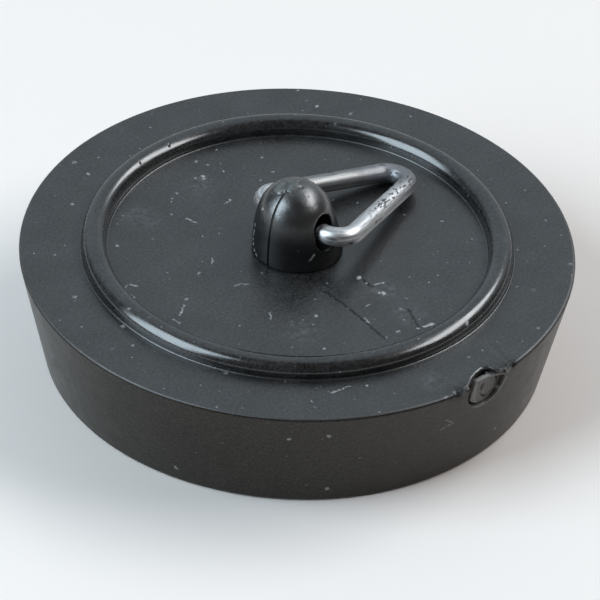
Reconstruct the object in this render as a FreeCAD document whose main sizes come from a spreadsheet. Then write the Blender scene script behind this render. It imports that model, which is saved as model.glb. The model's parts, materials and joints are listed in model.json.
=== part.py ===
"""Drain stopper for a 1 3/4 inch waste: soft plug, domed eye stud and wire pull triangle.

Millimetres. The origin is the centre of the plug's bottom rim, +Z is up, the cross hole of the
stud runs along Y and the triangle points along +X at rest.
"""
import FreeCAD, Part
import Sketcher
import math
import os
import re

Vector = FreeCAD.Vector

# Two measures that differ by less count as the same
CLOSE = 0.01

# Driving dimensions, in millimetres and degrees
DIMENSIONS = {
    # plug body: tapered moulding, hollow below
    "top_diameter": 46.0,
    "base_diameter": 41.6,
    "plug_height": 10.0,
    "plate_thickness": 4.0,
    "skirt_wall": 3.4,
    "recess_draft": 3.0,
    "rim_round": 0.25,
    "base_round": 0.4,
    "recess_round": 1.0,
    # round-topped bead on the flat top, upright at its foot
    "bead_diameter": 33.6,
    "bead_width": 2.08,
    "bead_rise": 0.32,
    # scar of the moulding gate: a round scoop in the rim with a broken stub low in it
    "gate_azimuth": 266.4,
    "gate_scoop_radius": 2.2,
    "gate_scoop_depth": 1.56,
    "gate_drop": 0.6,
    "gate_stub_diameter": 2.0,
    "gate_stub_length": 0.7,
    "gate_stub_offset": 0.7,
    "gate_stub_drop": 1.6,
    # eye stud: domed head, shank through the plate, foot below the plate
    "head_diameter": 7.6,
    "head_height": 6.4,
    "crown_radius": 3.35,
    "shank_diameter": 4.2,
    "shank_clearance": 0.05,
    "foot_diameter": 7.2,
    "foot_tip_diameter": 5.0,
    "foot_lip": 0.6,
    "foot_thickness": 1.8,
    "foot_clearance": 0.05,
    # upright cross hole in the head
    "eye_width": 2.4,
    "eye_height": 3.15,
    "eye_bottom": 1.45,
    "eye_round": 0.15,
    # wire triangle, measured along the wire's centre line; it is bent a little unevenly and leans in the eye
    "wire_diameter": 1.6,
    "triangle_width": 9.4,
    "triangle_offset": 0.25,
    "triangle_reach": 12.65,
    "tip_offset": 0.12,
    "triangle_lean": 4.5,
    "corner_bend": 1.6,
    "tip_bend": 1.6,
    "wire_end_gap": 4.4,
    "wire_end_round": 0.3,
    "pivot_clearance": 0.38,
    "tip_clearance": 0.15,
}

doc = FreeCAD.newDocument("drain_stopper")
sheet = doc.addObject("Spreadsheet::Sheet", "Dimensions")
for row, (alias, size) in enumerate(DIMENSIONS.items(), start=1):
    sheet.set(f"A{row}", alias)
    sheet.set(f"B{row}", str(size))
    sheet.setAlias(f"B{row}", alias)
doc.recompute()


def in_sheet(words):
    """The same expression with each dimension written as a cell of the sheet."""
    def cell(match):
        word = match.group()
        return f"Dimensions.{word}" if word in DIMENSIONS else word

    return re.sub(r"[a-z_]+", cell, words)


def value_of(words):
    """The present value of an expression of dimensions, as a plain number."""
    found = sheet.evalExpression(in_sheet(words))
    return float(getattr(found, "Value", found))


def bind(thing, prop, words):
    thing.setExpression(prop, in_sheet(words))


def new_body(name):
    body = doc.addObject("PartDesign::Body", name)
    body.Label = name
    return body


def new_sketch(body, name, role):
    """A sketch on one of the body's own origin planes."""
    sketch = body.newObject("Sketcher::SketchObject", name)
    plane = next(item for item in body.Origin.OriginFeatures if item.Role == role)
    sketch.AttachmentSupport = [(plane, "")]
    sketch.MapMode = "FlatFace"
    return sketch


def hold(sketch, kind, words, *where):
    """Add a dimension to the sketch and bind it to the sheet."""
    index = sketch.addConstraint(Sketcher.Constraint(kind, *where, value_of(words)))
    bind(sketch, f"Constraints[{index}]", words)


def join(sketch, kind, *where):
    sketch.addConstraint(Sketcher.Constraint(kind, *where))


# The numbers by which a sketch knows the points of a line or arc, and its own axes and origin
START, END, CENTRE = range(1, 4)
H_AXIS, V_AXIS = range(-1, -3, -1)
ORIGIN = H_AXIS


def hold_point(sketch, line, point, x_words, y_words):
    """Fix a point of the sketch at a place given by two expressions."""
    if x_words == "0":
        join(sketch, "PointOnObject", line, point, V_AXIS)
    else:
        hold(sketch, "DistanceX", x_words, ORIGIN, START, line, point)
    if y_words == "0":
        join(sketch, "PointOnObject", line, point, H_AXIS)
    else:
        hold(sketch, "DistanceY", y_words, ORIGIN, START, line, point)


def add_lines(sketch, corners):
    """Straight lines through the corners, each corner held by its two expressions."""
    points = [Vector(value_of(x), value_of(y), 0) for x, y in corners]
    lines = []
    for begin, finish in zip(points, points[1:]):
        lines.append(sketch.addGeometry(Part.LineSegment(begin, finish), False))
    for before, after in zip(lines, lines[1:]):
        join(sketch, "Coincident", before, END, after, START)
    for line, (x_words, y_words) in zip(lines, corners):
        hold_point(sketch, line, START, x_words, y_words)
    return lines


def add_circle(sketch, x_words, y_words, radius_words):
    centre = Vector(value_of(x_words), value_of(y_words), 0)
    shape = Part.Circle(centre, Vector(0, 0, 1), value_of(radius_words))
    circle = sketch.addGeometry(shape, False)
    hold_point(sketch, circle, CENTRE, x_words, y_words)
    hold(sketch, "Radius", radius_words, circle)


def add_arc(sketch, centre, radius, begin_angle, end_angle):
    circle = Part.Circle(centre, Vector(0, 0, 1), radius)
    return sketch.addGeometry(Part.ArcOfCircle(circle, begin_angle, end_angle), False)


def revolve(body, sketch, name):
    turned = body.newObject("PartDesign::Revolution", name)
    turned.Profile = sketch
    turned.ReferenceAxis = (sketch, ["V_Axis"])
    turned.Angle = 360
    doc.recompute()
    return turned


def rings_at(feature, radius, height):
    """Names of the round edges about the Z axis with this radius and height."""
    names = []
    for number, edge in enumerate(feature.Shape.Edges, start=1):
        if not isinstance(edge.Curve, Part.Circle):
            continue
        gap = abs(edge.Curve.Radius - radius) + abs(edge.Curve.Center.z - height)
        if gap < CLOSE:
            names.append(f"Edge{number}")
    return names


def round_edges(body, base, edges, name, radius_words):
    fillet = body.newObject("PartDesign::Fillet", name)
    fillet.Base = (base, edges)
    bind(fillet, "Radius", radius_words)
    doc.recompute()
    return fillet


def check_cut(before, feature):
    """A cut that points away from the solid removes nothing and shows no error."""
    if math.isclose(feature.Shape.Volume, before, rel_tol=1e-6):
        raise RuntimeError(f"{feature.Name} removed nothing")


PLATE_UNDERSIDE = "(plug_height - plate_thickness)"
RECESS_MOUTH = "(base_diameter / 2 - skirt_wall)"
RECESS_TOP = f"({RECESS_MOUTH} - tan(recess_draft * 1 deg) * {PLATE_UNDERSIDE})"
BORE_RADIUS = "(shank_diameter / 2 + shank_clearance)"
BEAD_FLOOR = "(plug_height - bead_width / 2)"
GATE_LEVEL = "(plug_height - gate_drop)"
STUB_LEVEL = "(plug_height - gate_stub_drop)"
SCOOP_FLOOR = "(top_diameter / 2 - gate_scoop_depth)"
STUB_ROOT = "gate_stub_length / 2"


def make_plug_body():
    """Soft moulding in its own frame, with the gate scar towards +X until it is placed."""
    body = new_body("plug_body")
    section = new_sketch(body, "plug_section", "XZ_Plane")
    corners = [
        (BORE_RADIUS, PLATE_UNDERSIDE),
        (RECESS_TOP, PLATE_UNDERSIDE),
        (RECESS_MOUTH, "0"),
        ("base_diameter / 2", "0"),
        ("top_diameter / 2", "plug_height"),
        (BORE_RADIUS, "plug_height"),
    ]
    lines = add_lines(section, corners + corners[:1])
    join(section, "Coincident", lines[-1], END, lines[0], START)
    plug = revolve(body, section, "tapered_plug")

    height = value_of("plug_height")
    rim = rings_at(plug, value_of("top_diameter / 2"), height)
    plug = round_edges(body, plug, rim, "rim_edge", "rim_round")
    base = rings_at(plug, value_of("base_diameter / 2"), 0)
    base += rings_at(plug, value_of(RECESS_MOUTH), 0)
    plug = round_edges(body, plug, base, "base_edges", "base_round")
    inside = rings_at(plug, value_of(RECESS_TOP), value_of(PLATE_UNDERSIDE))
    plug = round_edges(body, plug, inside, "recess_corner", "recess_round")

    ring = new_sketch(body, "bead_section", "XZ_Plane")
    add_upright_slot(ring, "bead_diameter / 2", BEAD_FLOOR, "bead_width", "(bead_width + bead_rise)")
    bead = revolve(body, ring, "bead")

    scoop = body.newObject("PartDesign::SubtractiveSphere", "gate_scoop")
    bind(scoop, "Radius", "gate_scoop_radius")
    bind(scoop, "Placement.Base.x", f"{SCOOP_FLOOR} + gate_scoop_radius")
    bind(scoop, "Placement.Base.z", GATE_LEVEL)
    doc.recompute()
    check_cut(bead.Shape.Volume, scoop)

    face = new_sketch(body, "gate_stub_section", "YZ_Plane")
    bind(face, "AttachmentOffset.Base.z", f"{SCOOP_FLOOR} - {STUB_ROOT}")
    add_circle(face, "gate_stub_offset", STUB_LEVEL, "gate_stub_diameter / 2")
    stub = body.newObject("PartDesign::Pad", "gate_stub")
    stub.Profile = face
    bind(stub, "Length", f"gate_stub_length + {STUB_ROOT}")
    body.Tip = stub

    body.Placement = FreeCAD.Placement(Vector(), FreeCAD.Rotation(Vector(0, 0, 1), 90))
    bind(body, "Placement.Rotation.Angle", "gate_azimuth * 1 deg")
    doc.recompute()
    return body


FOOT_TOP = f"({PLATE_UNDERSIDE} - foot_clearance)"
HEAD_TOP = "(plug_height + head_height)"
CROWN_LEVEL = f"({HEAD_TOP} - crown_radius)"
EYE_FLOOR = "(plug_height + eye_bottom)"


def make_eye_stud():
    """Hard moulding: domed head with a cross hole, shank, and a foot that snaps under the plate."""
    body = new_body("eye_stud")
    section = new_sketch(body, "stud_section", "XZ_Plane")
    corners = [
        ("0", f"{FOOT_TOP} - foot_thickness"),
        ("foot_tip_diameter / 2", f"{FOOT_TOP} - foot_thickness"),
        ("foot_diameter / 2", f"{FOOT_TOP} - foot_lip"),
        ("foot_diameter / 2", FOOT_TOP),
        ("shank_diameter / 2", FOOT_TOP),
        ("shank_diameter / 2", "plug_height"),
        ("head_diameter / 2", "plug_height"),
    ]
    lines = add_lines(section, corners)
    join(section, "Coincident", lines[-1], END, add_head(section), START)
    hold_point(section, lines[-1], END, *corners[-1])
    crown_end = len(section.Geometry) - 1
    axis = Part.LineSegment(Vector(0, value_of(HEAD_TOP), 0), Vector(0, value_of(corners[0][1]), 0))
    middle = section.addGeometry(axis, False)
    join(section, "Coincident", crown_end, END, middle, START)
    join(section, "Coincident", middle, END, lines[0], START)
    join(section, "PointOnObject", middle, START, V_AXIS)
    stud = revolve(body, section, "stud_turning")

    hole = new_sketch(body, "eye_section", "XZ_Plane")
    add_upright_slot(hole, "0", EYE_FLOOR, "eye_width", "eye_height")
    eye = body.newObject("PartDesign::Pocket", "eye")
    eye.Profile = hole
    eye.Type = "ThroughAll"
    eye.Midplane = True
    doc.recompute()
    check_cut(stud.Shape.Volume, eye)
    round_edges(body, eye, mouth_edges(eye), "eye_mouths", "eye_round")
    return body


def mouth_edges(eye):
    """Names of the edges where the cross hole breaks out of the head on both sides."""
    floor = value_of(EYE_FLOOR)
    ceiling = value_of(f"{EYE_FLOOR} + eye_height")
    half_width = value_of("eye_width / 2")
    names = []
    for number, edge in enumerate(eye.Shape.Edges, start=1):
        box = edge.BoundBox
        inside = box.ZMin > floor - CLOSE and box.ZMax < ceiling + CLOSE
        narrow = max(abs(box.XMin), abs(box.XMax)) < half_width + CLOSE
        if inside and narrow and abs(edge.CenterOfMass.y) > half_width:
            names.append(f"Edge{number}")
    return names


def add_head(sketch):
    """The head's flank, a line tangent to the round crown. Returns the flank."""
    foot = Vector(value_of("head_diameter / 2"), value_of("plug_height"), 0)
    centre = Vector(0, value_of(CROWN_LEVEL), 0)
    radius = value_of("crown_radius")
    away = foot - centre
    touch = math.atan2(away.y, away.x) + math.acos(radius / away.Length)
    touching = centre + Vector(math.cos(touch), math.sin(touch), 0) * radius
    flank = sketch.addGeometry(Part.LineSegment(foot, touching), False)
    crown = add_arc(sketch, centre, radius, touch, math.pi / 2)
    join(sketch, "Tangent", flank, END, crown, START)
    hold_point(sketch, crown, CENTRE, "0", CROWN_LEVEL)
    hold(sketch, "Radius", "crown_radius", crown)
    return flank


def add_upright_slot(sketch, middle_words, floor_words, width_words, height_words):
    """A closed upright slot with round ends, at a distance from the vertical axis."""
    middle = value_of(middle_words)
    radius = value_of(f"{width_words} / 2")
    low_words = f"{floor_words} + {width_words} / 2"
    high_words = f"{floor_words} + {height_words} - {width_words} / 2"
    low = Vector(middle, value_of(low_words), 0)
    high = Vector(middle, value_of(high_words), 0)
    side = Vector(radius, 0, 0)
    bottom = add_arc(sketch, low, radius, math.pi, 2 * math.pi)
    right = sketch.addGeometry(Part.LineSegment(low + side, high + side), False)
    top = add_arc(sketch, high, radius, 0, math.pi)
    left = sketch.addGeometry(Part.LineSegment(high - side, low - side), False)
    loop = [bottom, right, top, left]
    for before, after in zip(loop, loop[1:] + loop[:1]):
        join(sketch, "Tangent", before, END, after, START)
    join(sketch, "Equal", bottom, top)
    hold_point(sketch, bottom, CENTRE, middle_words, low_words)
    hold_point(sketch, top, CENTRE, middle_words, high_words)
    hold(sketch, "Radius", f"{width_words} / 2", bottom)


FRONT_SPAN = "(triangle_width / 2 - triangle_offset - corner_bend)"
BACK_SPAN = "(triangle_width / 2 + triangle_offset - corner_bend)"
TIP_CENTRE = "(triangle_reach - tip_bend)"
PIVOT_LEVEL = f"({EYE_FLOOR} + pivot_clearance + wire_diameter / 2)"
TIP_FALL = "(eye_bottom + pivot_clearance - tip_clearance)"
TRIANGLE_TURN = f"rotation(0; asin({TIP_FALL} / triangle_reach); -1 deg * triangle_lean)"


def make_pull_triangle():
    """One bent wire in its own frame: its ends lie on the Y axis and its tip points along X."""
    body = new_body("pull_triangle")
    route = new_sketch(body, "wire_route", "XY_Plane")
    add_wire_route(route)

    end = new_sketch(body, "wire_section", "XZ_Plane")
    bind(end, "AttachmentOffset.Base.z", "wire_end_gap / 2")
    add_circle(end, "0", "0", "wire_diameter / 2")
    doc.recompute()

    wire = body.newObject("PartDesign::AdditivePipe", "bent_wire")
    wire.Profile = end
    wire.Spine = (route, [f"Edge{number}" for number in range(1, len(route.Shape.Edges) + 1)])
    doc.recompute()
    length = sum(edge.Length for edge in route.Shape.Edges)
    expected = length * math.pi * value_of("wire_diameter / 2") ** 2
    if not math.isclose(wire.Shape.Volume, expected, rel_tol=0.01):
        raise RuntimeError("the bent wire is not a full round wire along its route")

    ends = []
    for number, edge in enumerate(wire.Shape.Edges, start=1):
        flat = edge.BoundBox.YLength < CLOSE
        if flat and abs(abs(edge.CenterOfMass.y) - value_of("wire_end_gap / 2")) < CLOSE:
            ends.append(f"Edge{number}")
    round_edges(body, wire, ends, "wire_ends", "wire_end_round")

    bind(body, "Placement", f"placement(vector(0; 0; {PIVOT_LEVEL}); {TRIANGLE_TURN})")
    doc.recompute()
    return body


def add_wire_route(sketch):
    """Stub, corner, leg, tip, leg, corner, stub: straight runs joined by tangent bends."""
    bend = value_of("corner_bend")
    tip = value_of("tip_bend")
    stub_end = value_of("wire_end_gap / 2")
    point = Vector(value_of(TIP_CENTRE), value_of("tip_offset"), 0)

    def half_of_route(side, span):
        """Stub, corner and leg on one side of the X axis, -1 or 1, and the leg's slope."""
        corner = Vector(bend, side * span, 0)
        run = point - corner
        slope = math.atan2(-side * run.y, run.x) - math.asin((tip - bend) / run.Length)
        out = Vector(math.sin(slope), side * math.cos(slope), 0)
        stub = [Vector(0, side * stub_end, 0), Vector(0, side * span, 0)]
        leg = [corner + out * bend, point + out * tip]
        return stub, corner, leg, slope

    def add_run(places):
        return sketch.addGeometry(Part.LineSegment(*places), False)

    quarter = math.pi / 2
    front_stub, front_corner, front_leg, front_slope = half_of_route(-1, value_of(FRONT_SPAN))
    back_stub, back_corner, back_leg, back_slope = half_of_route(1, value_of(BACK_SPAN))
    stub_a = add_run(front_stub)
    corner_a = add_arc(sketch, front_corner, bend, 2 * quarter, 3 * quarter + front_slope)
    leg_a = add_run(front_leg)
    tip_arc = add_arc(sketch, point, tip, front_slope - quarter, quarter - back_slope)
    leg_b = add_run(back_leg[::-1])
    corner_b = add_arc(sketch, back_corner, bend, quarter - back_slope, 2 * quarter)
    stub_b = add_run(back_stub[::-1])

    route = [stub_a, corner_a, leg_a, tip_arc, leg_b, corner_b, stub_b]
    for before, after in zip(route, route[1:]):
        join(sketch, "Tangent", before, END, after, START)
    join(sketch, "PointOnObject", stub_a, START, V_AXIS)
    join(sketch, "PointOnObject", stub_a, END, V_AXIS)
    join(sketch, "PointOnObject", stub_b, START, V_AXIS)
    join(sketch, "Symmetric", stub_a, START, stub_b, END, H_AXIS)
    join(sketch, "Equal", corner_a, corner_b)
    hold(sketch, "DistanceY", "wire_end_gap / 2", stub_a, START, ORIGIN, START)
    hold(sketch, "DistanceY", FRONT_SPAN, stub_a, END, ORIGIN, START)
    hold(sketch, "DistanceY", BACK_SPAN, ORIGIN, START, stub_b, START)
    hold_point(sketch, tip_arc, CENTRE, TIP_CENTRE, "tip_offset")
    hold(sketch, "Radius", "corner_bend", corner_a)
    hold(sketch, "Radius", "tip_bend", tip_arc)


sub_parts = [make_plug_body(), make_eye_stud(), make_pull_triangle()]
doc.recompute()

for item in doc.Objects:
    if "Invalid" in item.State or "Error" in item.State:
        raise RuntimeError(f"{item.Name} failed: {item.State}")
for part in sub_parts:
    if part.Shape.isNull() or not part.Shape.isValid() or len(part.Shape.Solids) != 1:
        raise RuntimeError(f"{part.Label} is not one valid solid")

os.makedirs("parts", exist_ok=True)
for part in sub_parts:
    part.Shape.exportStep(f"parts/{part.Label}.step")
    box = part.Shape.BoundBox
    print(f"{part.Label}: {part.Shape.Volume:.1f} mm3, x {box.XMin:.2f} to {box.XMax:.2f},"
          f" y {box.YMin:.2f} to {box.YMax:.2f}, z {box.ZMin:.2f} to {box.ZMax:.2f}")
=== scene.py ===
"""Looks of the drain stopper: a dusty black plug with its gate scar, a glossy eye stud, a worn wire pull.

Lengths are in millimetres, and become metres where a mesh or the camera is made. Those of the stage are
in metres.
"""
import json
import math

import bpy
import numpy as np
from mathutils import Matrix, Vector, noise


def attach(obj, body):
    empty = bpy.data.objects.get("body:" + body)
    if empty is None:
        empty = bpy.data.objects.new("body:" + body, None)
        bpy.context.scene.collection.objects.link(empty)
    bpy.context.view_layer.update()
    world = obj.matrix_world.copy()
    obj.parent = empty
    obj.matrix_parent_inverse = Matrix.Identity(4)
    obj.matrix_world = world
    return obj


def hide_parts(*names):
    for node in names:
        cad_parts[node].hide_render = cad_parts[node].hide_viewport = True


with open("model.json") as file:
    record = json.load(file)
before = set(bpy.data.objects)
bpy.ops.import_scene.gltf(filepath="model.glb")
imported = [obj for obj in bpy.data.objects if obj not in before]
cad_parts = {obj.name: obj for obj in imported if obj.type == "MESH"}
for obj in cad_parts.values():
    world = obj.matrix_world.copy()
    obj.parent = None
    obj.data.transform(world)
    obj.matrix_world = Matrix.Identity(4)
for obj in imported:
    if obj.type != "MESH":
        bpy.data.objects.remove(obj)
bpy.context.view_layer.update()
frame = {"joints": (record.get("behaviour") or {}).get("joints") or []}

MM = 0.001
JOINTS = {joint["name"]: joint for joint in frame["joints"]}

# Plug: tapered moulding, hollow below, with a round-topped bead on its flat top
PLUG_HEIGHT = JOINTS["stud_swivel"]["pos_m"][2] / MM
TOP_RADIUS = 23.0
BASE_RADIUS = 20.8
PLATE_THICKNESS = 4.0
SKIRT_WALL = 3.4
RECESS_DRAFT = math.radians(3.0)
RIM_ROUND = 0.25
BASE_ROUND = 0.4
RECESS_ROUND = 1.0
BORE_RADIUS = 2.15
BORE_ROUND = 0.1
BEAD_RADIUS = 16.8
BEAD_HALF_WIDTH = 1.04
BEAD_RISE = 0.32
BEAD_FILLET = 0.12

# Scar of the moulding gate: a pocket in the rim, nearly filled by the broken stub.
# Its places are the distance out from the axis, the side along the rim, and the level.
# A pair of limits says where a form begins and where it is complete.
GATE_AZIMUTH = math.radians(266.4)
POCKET_SIDE = -0.06
POCKET_LEVEL = PLUG_HEIGHT - 0.74
POCKET_RADIUS = 2.05
POCKET_FLOOR = 20.9
POCKET_SLOPE = 0.1
SHELF_FLOOR = 22.2
SHELF_SIDES = (1.3, 1.7)
SHELF_LEVELS = (PLUG_HEIGHT - 0.3, PLUG_HEIGHT - 0.5)
SCAR_EDGE_SIDES = [-2.95, -2.65, -1.85, -1.1, -0.3, 0.5, 0.95, 1.15, 1.4, 1.7, 2.15, 2.55]
SCAR_EDGE_DEPTHS = [0.0, 0.2, 0.42, 0.94, 1.3, 1.44, 1.2, 0.6, 0.32, 0.22, 0.15, 0.0]
EDGE_BLUR = 0.1
EDGE_THICKNESS = 0.14
EDGE_INSET = 0.08
STUB_FACE = 22.2
STUB_TOP = PLUG_HEIGHT - 0.32
STUB_TOP_DEPTH = 0.1
STUB_TOP_SLOPE = 2.0
STUB_LEFT = -0.8
STUB_LEFT_LEAN = 0.26
STUB_FOLD = -0.62
STUB_FOLD_LEAN = 0.05
STUB_FOLD_SLOPE = 0.35
STUB_ROUND = 1.05
STUB_GROOVE = 0.08
STUB_STEP = (-0.03, 0.04)
# Widths over which the stub's left, right and top edges are rounded
STUB_BLENDS = (0.15, 0.1, 0.05)
MARK_SIDE = 0.6
MARK_LEVEL = PLUG_HEIGHT - 1.5
MARK_RADIUS = 0.85
MARK_LINE = 0.08
MARK_GROOVE = 0.14
MARK_RIDGE = 0.1
MARK_RIDGE_INSET = 0.2
MARK_FADE = (0.6, -0.4)
MARK_FADE_TILT = 0.8
BRIDGE = ((0.4, PLUG_HEIGHT - 0.42), (2.05, PLUG_HEIGHT - 0.7))
BRIDGE_SIDES = (BRIDGE[0][0], BRIDGE[1][0])
BRIDGE_OUT = (22.2, 22.55)
BRIDGE_HALF_WIDTH = 0.11
BRIDGE_STEP = (-0.04, 0.04)
GAP_FLOOR = 21.5
GAP_STEP = 0.02
GAP_END = 1.25
GAP_RUN_OUT = 0.25
GAP_DROP = 0.7
GAP_DROP_LOW = (STUB_TOP, STUB_TOP + 0.03)
GAP_DROP_HIGH = (PLUG_HEIGHT, PLUG_HEIGHT - 0.1)
GAP_DROP_WITHIN = (0, 0.3)
GAP_DROP_SIDES = (GAP_END, GAP_END - 0.2)
LIP_HEIGHT = 0.06
LIP_WIDTH = 0.11
LIP_SIDES = (-1.6, -0.6)
LIP_OVERLAP = 0.03
RIDGE_INSET = 0.26
RIDGE_WIDTH = 0.16
RIDGE_CUTS = (0.05, 0.4)
TORN_CORNERS = [(22.62, -2.7), (22.6, 2.4)]
CORNER_RADIUS = 0.22
CORNER_RISE = 0.1
DIMPLES = [(22.66, -3.25), (22.8, 2.72)]
DIMPLE_RADIUS = 0.34
DIMPLE_DEPTH = 0.14
DIMPLE_INSET = 0.16
WRINKLES = [((19.7, -3.1), (22.6, -2.6), 0.04), ((19.7, 3.1), (22.3, 2.65), -0.04)]
WRINKLE_WIDTH = 0.24
ON_TOP = 0.001

# Whitening of the plastic at the scar, painted light on its lit parts, and dulling of its shine
PALE_FACE = 0.4
PALE_EDGE = 0.8
PALE_SHELF = 0.35
PALE_SHELF_WITHIN = (0.1, 0.3)
PALE_SHELF_SIDES = (1.2, 1.6)
PALE_FOLD_STEP = 0.05
PALE_SPOTS = [(-0.1, PLUG_HEIGHT - 1.68), (1.6, PLUG_HEIGHT - 2.0)]
PALE_SPOT_RADIUS = 0.16
PALE_CORNER_RADIUS = 0.3
DULL_RADIUS = 0.9

# Eye stud, heights counted from the plug's top
HEAD_RADIUS = 3.8
HEAD_HEIGHT = 6.4
HEAD_TAPER = 0.85
CROWN_POWER = 4.4
HEAD_LEAN = 0.46
LEAN_POWER = 0.75
SHANK_RADIUS = 2.1
FOOT_RADIUS = 3.6
FOOT_TIP_RADIUS = 2.5
FOOT_TOP = -4.05
FOOT_LIP = 0.6
FOOT_THICKNESS = 1.8
EYE_WIDTH = 2.26
EYE_SIDE = 0.05
EYE_HEIGHT = 2.95
EYE_BOTTOM = 1.5
EYE_ROUND = 0.25
SEAM_WIDTH = 0.06
SEAM_DEPTH = 0.12
SEAM_TURN = math.radians(4.5)
HEAD_EDGE_ROUND = 0.3
FOOT_EDGE_ROUND = 0.2
FOOT_END_ROUND = 0.3
SHANK_OVERLAP = 1.0

# Wire triangle, along the wire's centre line
WIRE_RADIUS = 0.8
FRONT_CORNER = 4.45
BACK_CORNER = 4.95
TRIANGLE_REACH = 12.65
TIP_OFFSET = 0.12
BEND_RADIUS = 1.6
WIRE_END_GAP = 4.4
WIRE_END_DOME = 0.55
TIP_FALL = 1.68
TRIANGLE_LEAN = math.radians(4.5)
PIVOT_HEIGHT = JOINTS["triangle_swing"]["pos_m"][2] / MM

# Camera of the photograph, and where its pixels meet the plug
CAMERA_AZIMUTH = math.radians(-47.3)
CAMERA_ELEVATION = math.radians(37.1454)
CAMERA_ROLL = math.radians(2.5408)
CAMERA_DISTANCE = 427.74
CAMERA_RIGHT = 0.2
CAMERA_UP = -4.4
FOCAL_PIXELS = 5189.4
IMAGE_PIXELS = 600
SENSOR = 36.0


def camera_axes():
    """The camera's right, up and backward directions."""
    turn = Matrix.Rotation(CAMERA_AZIMUTH, 3, "Z")
    back = turn @ Vector((0, -math.cos(CAMERA_ELEVATION), math.sin(CAMERA_ELEVATION)))
    level_right = turn @ Vector((1, 0, 0))
    level_up = turn @ Vector((0, math.sin(CAMERA_ELEVATION), math.cos(CAMERA_ELEVATION)))
    right = math.cos(CAMERA_ROLL) * level_right + math.sin(CAMERA_ROLL) * level_up
    up = math.cos(CAMERA_ROLL) * level_up - math.sin(CAMERA_ROLL) * level_right
    return right, up, back


def camera_place():
    right, up, back = camera_axes()
    target = Vector((0, 0, PLUG_HEIGHT))
    return target + CAMERA_DISTANCE * back + CAMERA_RIGHT * right + CAMERA_UP * up


def on_level(pixel, height):
    """Where a pixel of the photograph meets a level plane."""
    right, up, back = camera_axes()
    across = (pixel[0] - IMAGE_PIXELS / 2) / FOCAL_PIXELS
    down = (pixel[1] - IMAGE_PIXELS / 2) / FOCAL_PIXELS
    sight = across * right - down * up - back
    start = camera_place()
    return start + sight * (height - start.z) / sight.z


def on_wall(pixel):
    """Where a pixel of the photograph meets the plug's tapered wall."""
    start = camera_place()
    sight = (on_level(pixel, 0) - start).normalized()
    spread = (TOP_RADIUS - BASE_RADIUS) / PLUG_HEIGHT
    radius = BASE_RADIUS + spread * start.z
    square = sight.xy.length_squared - (spread * sight.z) ** 2
    linear = start.xy.dot(sight.xy) - radius * spread * sight.z
    constant = start.xy.length_squared - radius ** 2
    nearest = (-linear - math.sqrt(linear ** 2 - square * constant)) / square
    return start + sight * nearest


# Meshes

def new_piece(name, vertices, faces, body, node):
    """A smooth mesh, in metres, that stands for a node of the frame and moves with its body."""
    mesh = bpy.data.meshes.new(name)
    mesh.from_pydata((np.asarray(vertices) * MM).tolist(), [], faces)
    mesh.shade_smooth()
    mesh.validate()
    piece = bpy.data.objects.new(name, mesh)
    bpy.context.scene.collection.objects.link(piece)
    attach(piece, body)
    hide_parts(node)
    return piece


def add_attribute(piece, name, values):
    """Store one number or one vector for each vertex, for the material to read."""
    values = np.asarray(values, dtype=np.float32)
    kind = "FLOAT" if values.ndim == 1 else "FLOAT_VECTOR"
    field = "value" if values.ndim == 1 else "vector"
    attribute = piece.data.attributes.new(name, kind, "POINT")
    attribute.data.foreach_set(field, values.ravel())


def arc(centre, radius, begin, end, steps):
    """Points on a circle from one angle in degrees to another, both included."""
    angles = np.radians(np.linspace(begin, end, steps + 1))
    return [(centre[0] + radius * math.cos(a), centre[1] + radius * math.sin(a)) for a in angles]


def rounded(before, corner, after, radius, steps=8):
    """Points that round off a corner between two straight runs."""
    before, corner, after = (np.array(point, dtype=float) for point in (before, corner, after))
    back = (before - corner) / np.linalg.norm(before - corner)
    ahead = (after - corner) / np.linalg.norm(after - corner)
    half = math.acos(np.clip(back @ ahead, -1, 1)) / 2
    middle = (back + ahead) / np.linalg.norm(back + ahead)
    centre = corner + middle * radius / math.sin(half)
    start = corner + back * radius / math.tan(half) - centre
    finish = corner + ahead * radius / math.tan(half) - centre
    spokes = [start * (1 - share) + finish * share for share in np.linspace(0, 1, steps + 1)]
    return [tuple(centre + spoke / np.linalg.norm(spoke) * radius) for spoke in spokes]


def fill_runs(points, spacing, margin=0.04):
    """Divide the long runs of a closed outline, with a point close to each end of a run."""
    filled = []
    for begin, end in zip(points, points[1:] + points[:1]):
        begin, end = np.array(begin), np.array(end)
        length = np.linalg.norm(end - begin)
        filled.append(begin)
        if length < 4 * margin:
            continue
        distance = margin
        while distance < length - margin:
            filled.append(begin + (end - begin) * distance / length)
            distance += spacing(filled[-1])
        filled.append(begin + (end - begin) * (length - margin) / length)
    return np.array(filled)


def ring_faces(here, there, size):
    """Four-sided faces between two closed rings of points, given by the number of their first points."""
    after = [(n + 1) % size for n in range(size)]
    return [(here + n, here + after[n], there + after[n], there + n) for n in range(size)]


def smooth_step(low, high, values):
    share = np.clip((values - low) / (high - low), 0, 1)
    return share * share * (3 - 2 * share)


def bump(values, width):
    return np.exp(-((values / width) ** 2))


def smooth_max(first, second, width):
    overlap = np.maximum(width - np.abs(first - second), 0) / width
    return np.maximum(first, second) + overlap * overlap * width / 4


def smooth_min(first, second, width):
    return -smooth_max(-first, -second, width)


def blend(first, second, share):
    return first + (second - first) * share


NOISE_SHIFT = Vector((17.3, 5.1, 11.7))


def ruffle(points, layers):
    """Smooth random numbers at some points, as the sum of layers with a height, a scale and a seed."""
    total = np.zeros(len(points))
    for height, scale, seed in layers:
        shift = seed * NOISE_SHIFT
        total += height * np.array([noise.noise(Vector(point) * scale + shift) for point in points])
    return total


# Plug

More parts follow.
